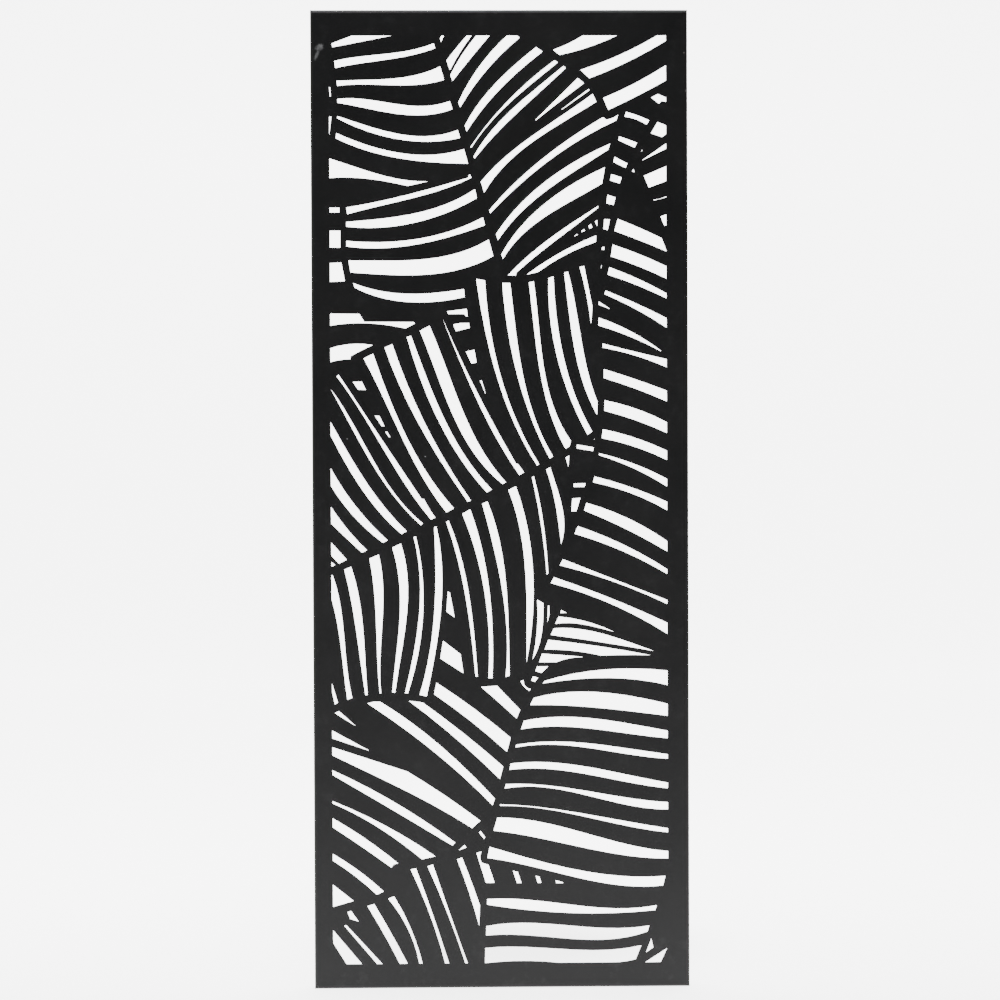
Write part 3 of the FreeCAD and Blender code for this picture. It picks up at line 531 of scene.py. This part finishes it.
@dataclass
class CornerFixing:
    """One corner's plate, its four rivets with their pins, and its wall bumper. Sizes are in metres."""

    side: Side
    end: End
    rivet_near: float = 18 * MM
    rivet_far: float = 54 * MM
    rivet_from_edge: float = 7.2 * MM
    head_top: float = 10 * MM
    pin_radius: float = 0.85 * MM
    collar_radius: float = 1.55 * MM
    steps_round: int = 28

    @property
    def corner(self) -> str:
        """The corner's name, as its nodes end."""
        return f"{self.end.value}_{self.side.name.lower()}"

    def _spot(self, from_side: float, from_end: float) -> tuple[float, float]:
        """Place on the rear, from the corner's two edges.

        Args:
            from_side: metres from the side.
            from_end: metres from the end.

        Returns:
            Places along X and Z.
        """
        up = PANEL_HEIGHT - from_end if self.end is End.TOP else from_end
        return self.side.value * (PANEL_HALF_WIDTH - from_side), up

    def rivet_spots(self) -> list[tuple[float, float]]:
        """Places of the corner's four rivets along X and Z."""
        spots = []
        for along in (self.rivet_near, self.rivet_far):
            spots.append(self._spot(along, self.rivet_from_edge))
            spots.append(self._spot(self.rivet_from_edge, along))
        return spots

    def build_pins(self) -> bpy.types.Object:
        """Broken-off pins in the rivet heads, each in its rolled collar.

        Returns:
            One object with all four.
        """
        profile = [
            (self.collar_radius, self.head_top - 0.10 * MM),
            (self.collar_radius - 0.12 * MM, self.head_top + 0.05 * MM),
            (self.collar_radius - 0.38 * MM, self.head_top + 0.09 * MM),
            (self.pin_radius + 0.05 * MM, self.head_top + 0.02 * MM),
            (self.pin_radius, self.head_top - 0.28 * MM),
            (self.pin_radius - 0.12 * MM, self.head_top - 0.24 * MM),
            (self.pin_radius - 0.30 * MM, self.head_top - 0.10 * MM),
        ]
        mesh = bmesh.new()
        for across, up in self.rivet_spots():
            self._turn_profile(mesh, profile, across, up)
        bmesh.ops.recalc_face_normals(mesh, faces=mesh.faces)
        data = bpy.data.meshes.new(f"rivet_pins_{self.corner}")
        mesh.to_mesh(data)
        mesh.free()
        for face in data.polygons:
            face.use_smooth = True
        piece = bpy.data.objects.new(data.name, data)
        bpy.context.scene.collection.objects.link(piece)
        return piece

    def _turn_profile(
        self, mesh: bmesh.types.BMesh, profile: list[tuple[float, float]], across: float, up: float
    ) -> None:
        """Turn a profile round an axis along Y, closed at its inner end.

        Args:
            mesh: gets the faces.
            profile: radii and places along Y, from the outside in.
            across: the axis along X.
            up: the axis along Z.
        """
        rings = []
        for radius, depth in profile:
            ring = []
            for step in range(self.steps_round):
                angle = 2 * math.pi * step / self.steps_round
                corner = (across + radius * math.cos(angle), depth, up + radius * math.sin(angle))
                ring.append(mesh.verts.new(corner))
            rings.append(ring)
        for outer, inner in zip(rings, rings[1:]):
            for step in range(self.steps_round):
                following = (step + 1) % self.steps_round
                mesh.faces.new((outer[step], outer[following], inner[following], inner[step]))
        mesh.faces.new(rings[-1])

    def dress(
        self, frame: dict, coat: bpy.types.Material, metal: bpy.types.Material, rubber: bpy.types.Material
    ) -> None:
        """Give the corner's pieces their materials and build its pins.

        Args:
            frame: the loaded model.
            coat: for the plate.
            metal: for rivets and pins.
            rubber: for the bumper.
        """
        dress(frame["nodes"][f"corner_plate_{self.corner}"], coat)
        dress(frame["nodes"][f"corner_rivets_{self.corner}"], metal)
        dress(frame["nodes"][f"wall_bumper_{self.corner}"], rubber)
        pins = self.build_pins()
        dress(pins, metal)
        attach(pins, "root")
        LOG.info("%s corner: plate, rivets, pins and bumper", self.corner)


@dataclass(frozen=True)
class SoftLight:
    """Soft rectangular light, in metres and watts."""

    name: str
    place: tuple[float, float, float]
    target: tuple[float, float, float]
    width: float
    height: float
    power: float

    def build(self) -> None:
        """Make the light, pointed at its target and hidden from the camera."""
        data = bpy.data.lights.new(self.name, "AREA")
        data.shape = "RECTANGLE"
        data.size = self.width
        data.size_y = self.height
        data.energy = self.power
        light = bpy.data.objects.new(self.name, data)
        light.location = self.place
        aim = Vector(self.target) - Vector(self.place)
        light.rotation_euler = aim.to_track_quat("-Z", "Y").to_euler()
        light.visible_camera = False
        bpy.context.scene.collection.objects.link(light)


STUDIO_LIGHTS = (
    SoftLight("overhead", (0.0, 0.7, 3.6), (0.0, 0.5, 0.0), 3.0, 1.6, 260.0),
    SoftLight("front_top", (0.0, -1.2, 3.4), (0.0, 0.0, 1.3), 3.0, 1.6, 100.0),
    SoftLight("left_soft", (-3.0, -0.9, 1.0), (0.0, 0.0, 0.7), 1.6, 2.4, 36.0),
)


@dataclass
class Studio:
    """Pale sweep under and behind the panel, and soft lights. Sizes are in metres."""

    half_width: float = 9.0
    front: float = -9.0
    back: float = 6.5
    bend: float = 2.0
    rise: float = 7.0
    bend_steps: int = 24
    ambient: float = 0.22
    lights: tuple[SoftLight, ...] = STUDIO_LIGHTS

    def build_sweep(self, paper: StudioPaper) -> bpy.types.Object:
        """Floor that bends up into a backdrop.

        Args:
            paper: its finish.

        Returns:
            The sweep.
        """
        bend_start = self.back - self.bend
        line = [(self.front, 0.0), (bend_start, 0.0)]
        for step in range(1, self.bend_steps + 1):
            angle = 0.5 * math.pi * step / self.bend_steps
            line.append((bend_start + self.bend * math.sin(angle), self.bend * (1 - math.cos(angle))))
        line.append((self.back, self.rise))
        corners = [(side * self.half_width, y, z) for y, z in line for side in (-1, 1)]
        faces = [(2 * step, 2 * step + 1, 2 * step + 3, 2 * step + 2) for step in range(len(line) - 1)]
        data = bpy.data.meshes.new("studio_sweep")
        data.from_pydata(corners, [], faces)
        for face in data.polygons:
            face.use_smooth = True
        sweep = bpy.data.objects.new("studio_sweep", data)
        bpy.context.scene.collection.objects.link(sweep)
        dress(sweep, paper.material())
        return sweep

    def set_ambient(self) -> None:
        """Even dim light from all round."""
        world = bpy.data.worlds.new("studio_ambient")
        world.use_nodes = True
        background = world.node_tree.nodes["Background"]
        background.inputs["Color"].default_value = (1.0, 1.0, 1.0, 1.0)
        background.inputs["Strength"].default_value = self.ambient
        bpy.context.scene.world = world

    def build(self, paper: StudioPaper) -> None:
        """The sweep and its lights.

        Args:
            paper: the sweep's finish.
        """
        self.build_sweep(paper)
        for light in self.lights:
            light.build()
        self.set_ambient()
        LOG.info("studio: sweep, %d soft lights and ambient", len(self.lights))


@dataclass(frozen=True)
class PhotoCamera:
    """Camera at the photograph's viewpoint. Place is in metres, turns in degrees, lens in millimetres."""

    place: tuple[float, float, float] = (-0.0526, -3.2, 0.7022)
    pitch: float = -0.931
    yaw: float = -0.929
    roll: float = -0.225
    lens: float = 86.43
    sensor_width: float = 36.0
    far_clip: float = 60.0

    def build(self) -> bpy.types.Object:
        """Make the camera and give it to the scene.

        Returns:
            The camera.
        """
        data = bpy.data.cameras.new("photo_camera")
        data.lens = self.lens
        data.sensor_width = self.sensor_width
        data.clip_end = self.far_clip
        camera = bpy.data.objects.new("photo_camera", data)
        turned = Matrix.Rotation(math.radians(self.yaw), 4, "Z")
        tilted = Matrix.Rotation(math.radians(90 + self.pitch), 4, "X")
        rolled = Matrix.Rotation(math.radians(self.roll), 4, "Z")
        camera.matrix_world = Matrix.Translation(self.place) @ turned @ tilted @ rolled
        bpy.context.scene.collection.objects.link(camera)
        bpy.context.scene.camera = camera
        return camera


FACE_MARKS = (
    Mark(MarkKind.SMUDGE, -0.2374, 1.2500, 0.0075, 0.0060, 0.5),
    Mark(MarkKind.SMUDGE, -0.2407, 1.2411, 0.0105, 0.0030, 1.2),
    # Two painted glints on the right bend, as pale spots of coat.
    Mark(MarkKind.GLINT, 0.2455, 1.2428, 0.0016, 0.0011, 0.3),
    Mark(MarkKind.GLINT, 0.2475, 1.1923, 0.0018, 0.0010, 1.4),
    Mark(MarkKind.DUST, -0.2033, 0.7323, 0.0012, 0.0009),
    Mark(MarkKind.DUST, -0.0999, 0.7084, 0.0013, 0.0010),
)


def main() -> None:
    """Load the model, dress it, and set up the studio and camera."""
    logging.basicConfig(level=logging.INFO, format="%(name)s: %(message)s")
    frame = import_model()
    PhotoCamera().build()
    sheet = LeafPanel("leaf_panel", PowderCoat("leaf_panel_coat", marks=FACE_MARKS)).dress(frame)
    LOG.info("%s: coated", sheet.name)
    coat = PowderCoat("corner_plate_coat", roughness=0.46).material()
    metal = RivetMetal("rivet_aluminium").material()
    rubber = BumperRubber("bumper_rubber").material()
    for end in End:
        for side in Side:
            CornerFixing(side, end).dress(frame, coat, metal, rubber)
    Studio().build(StudioPaper("studio_paper"))


if __name__ == "__main__":
    main()
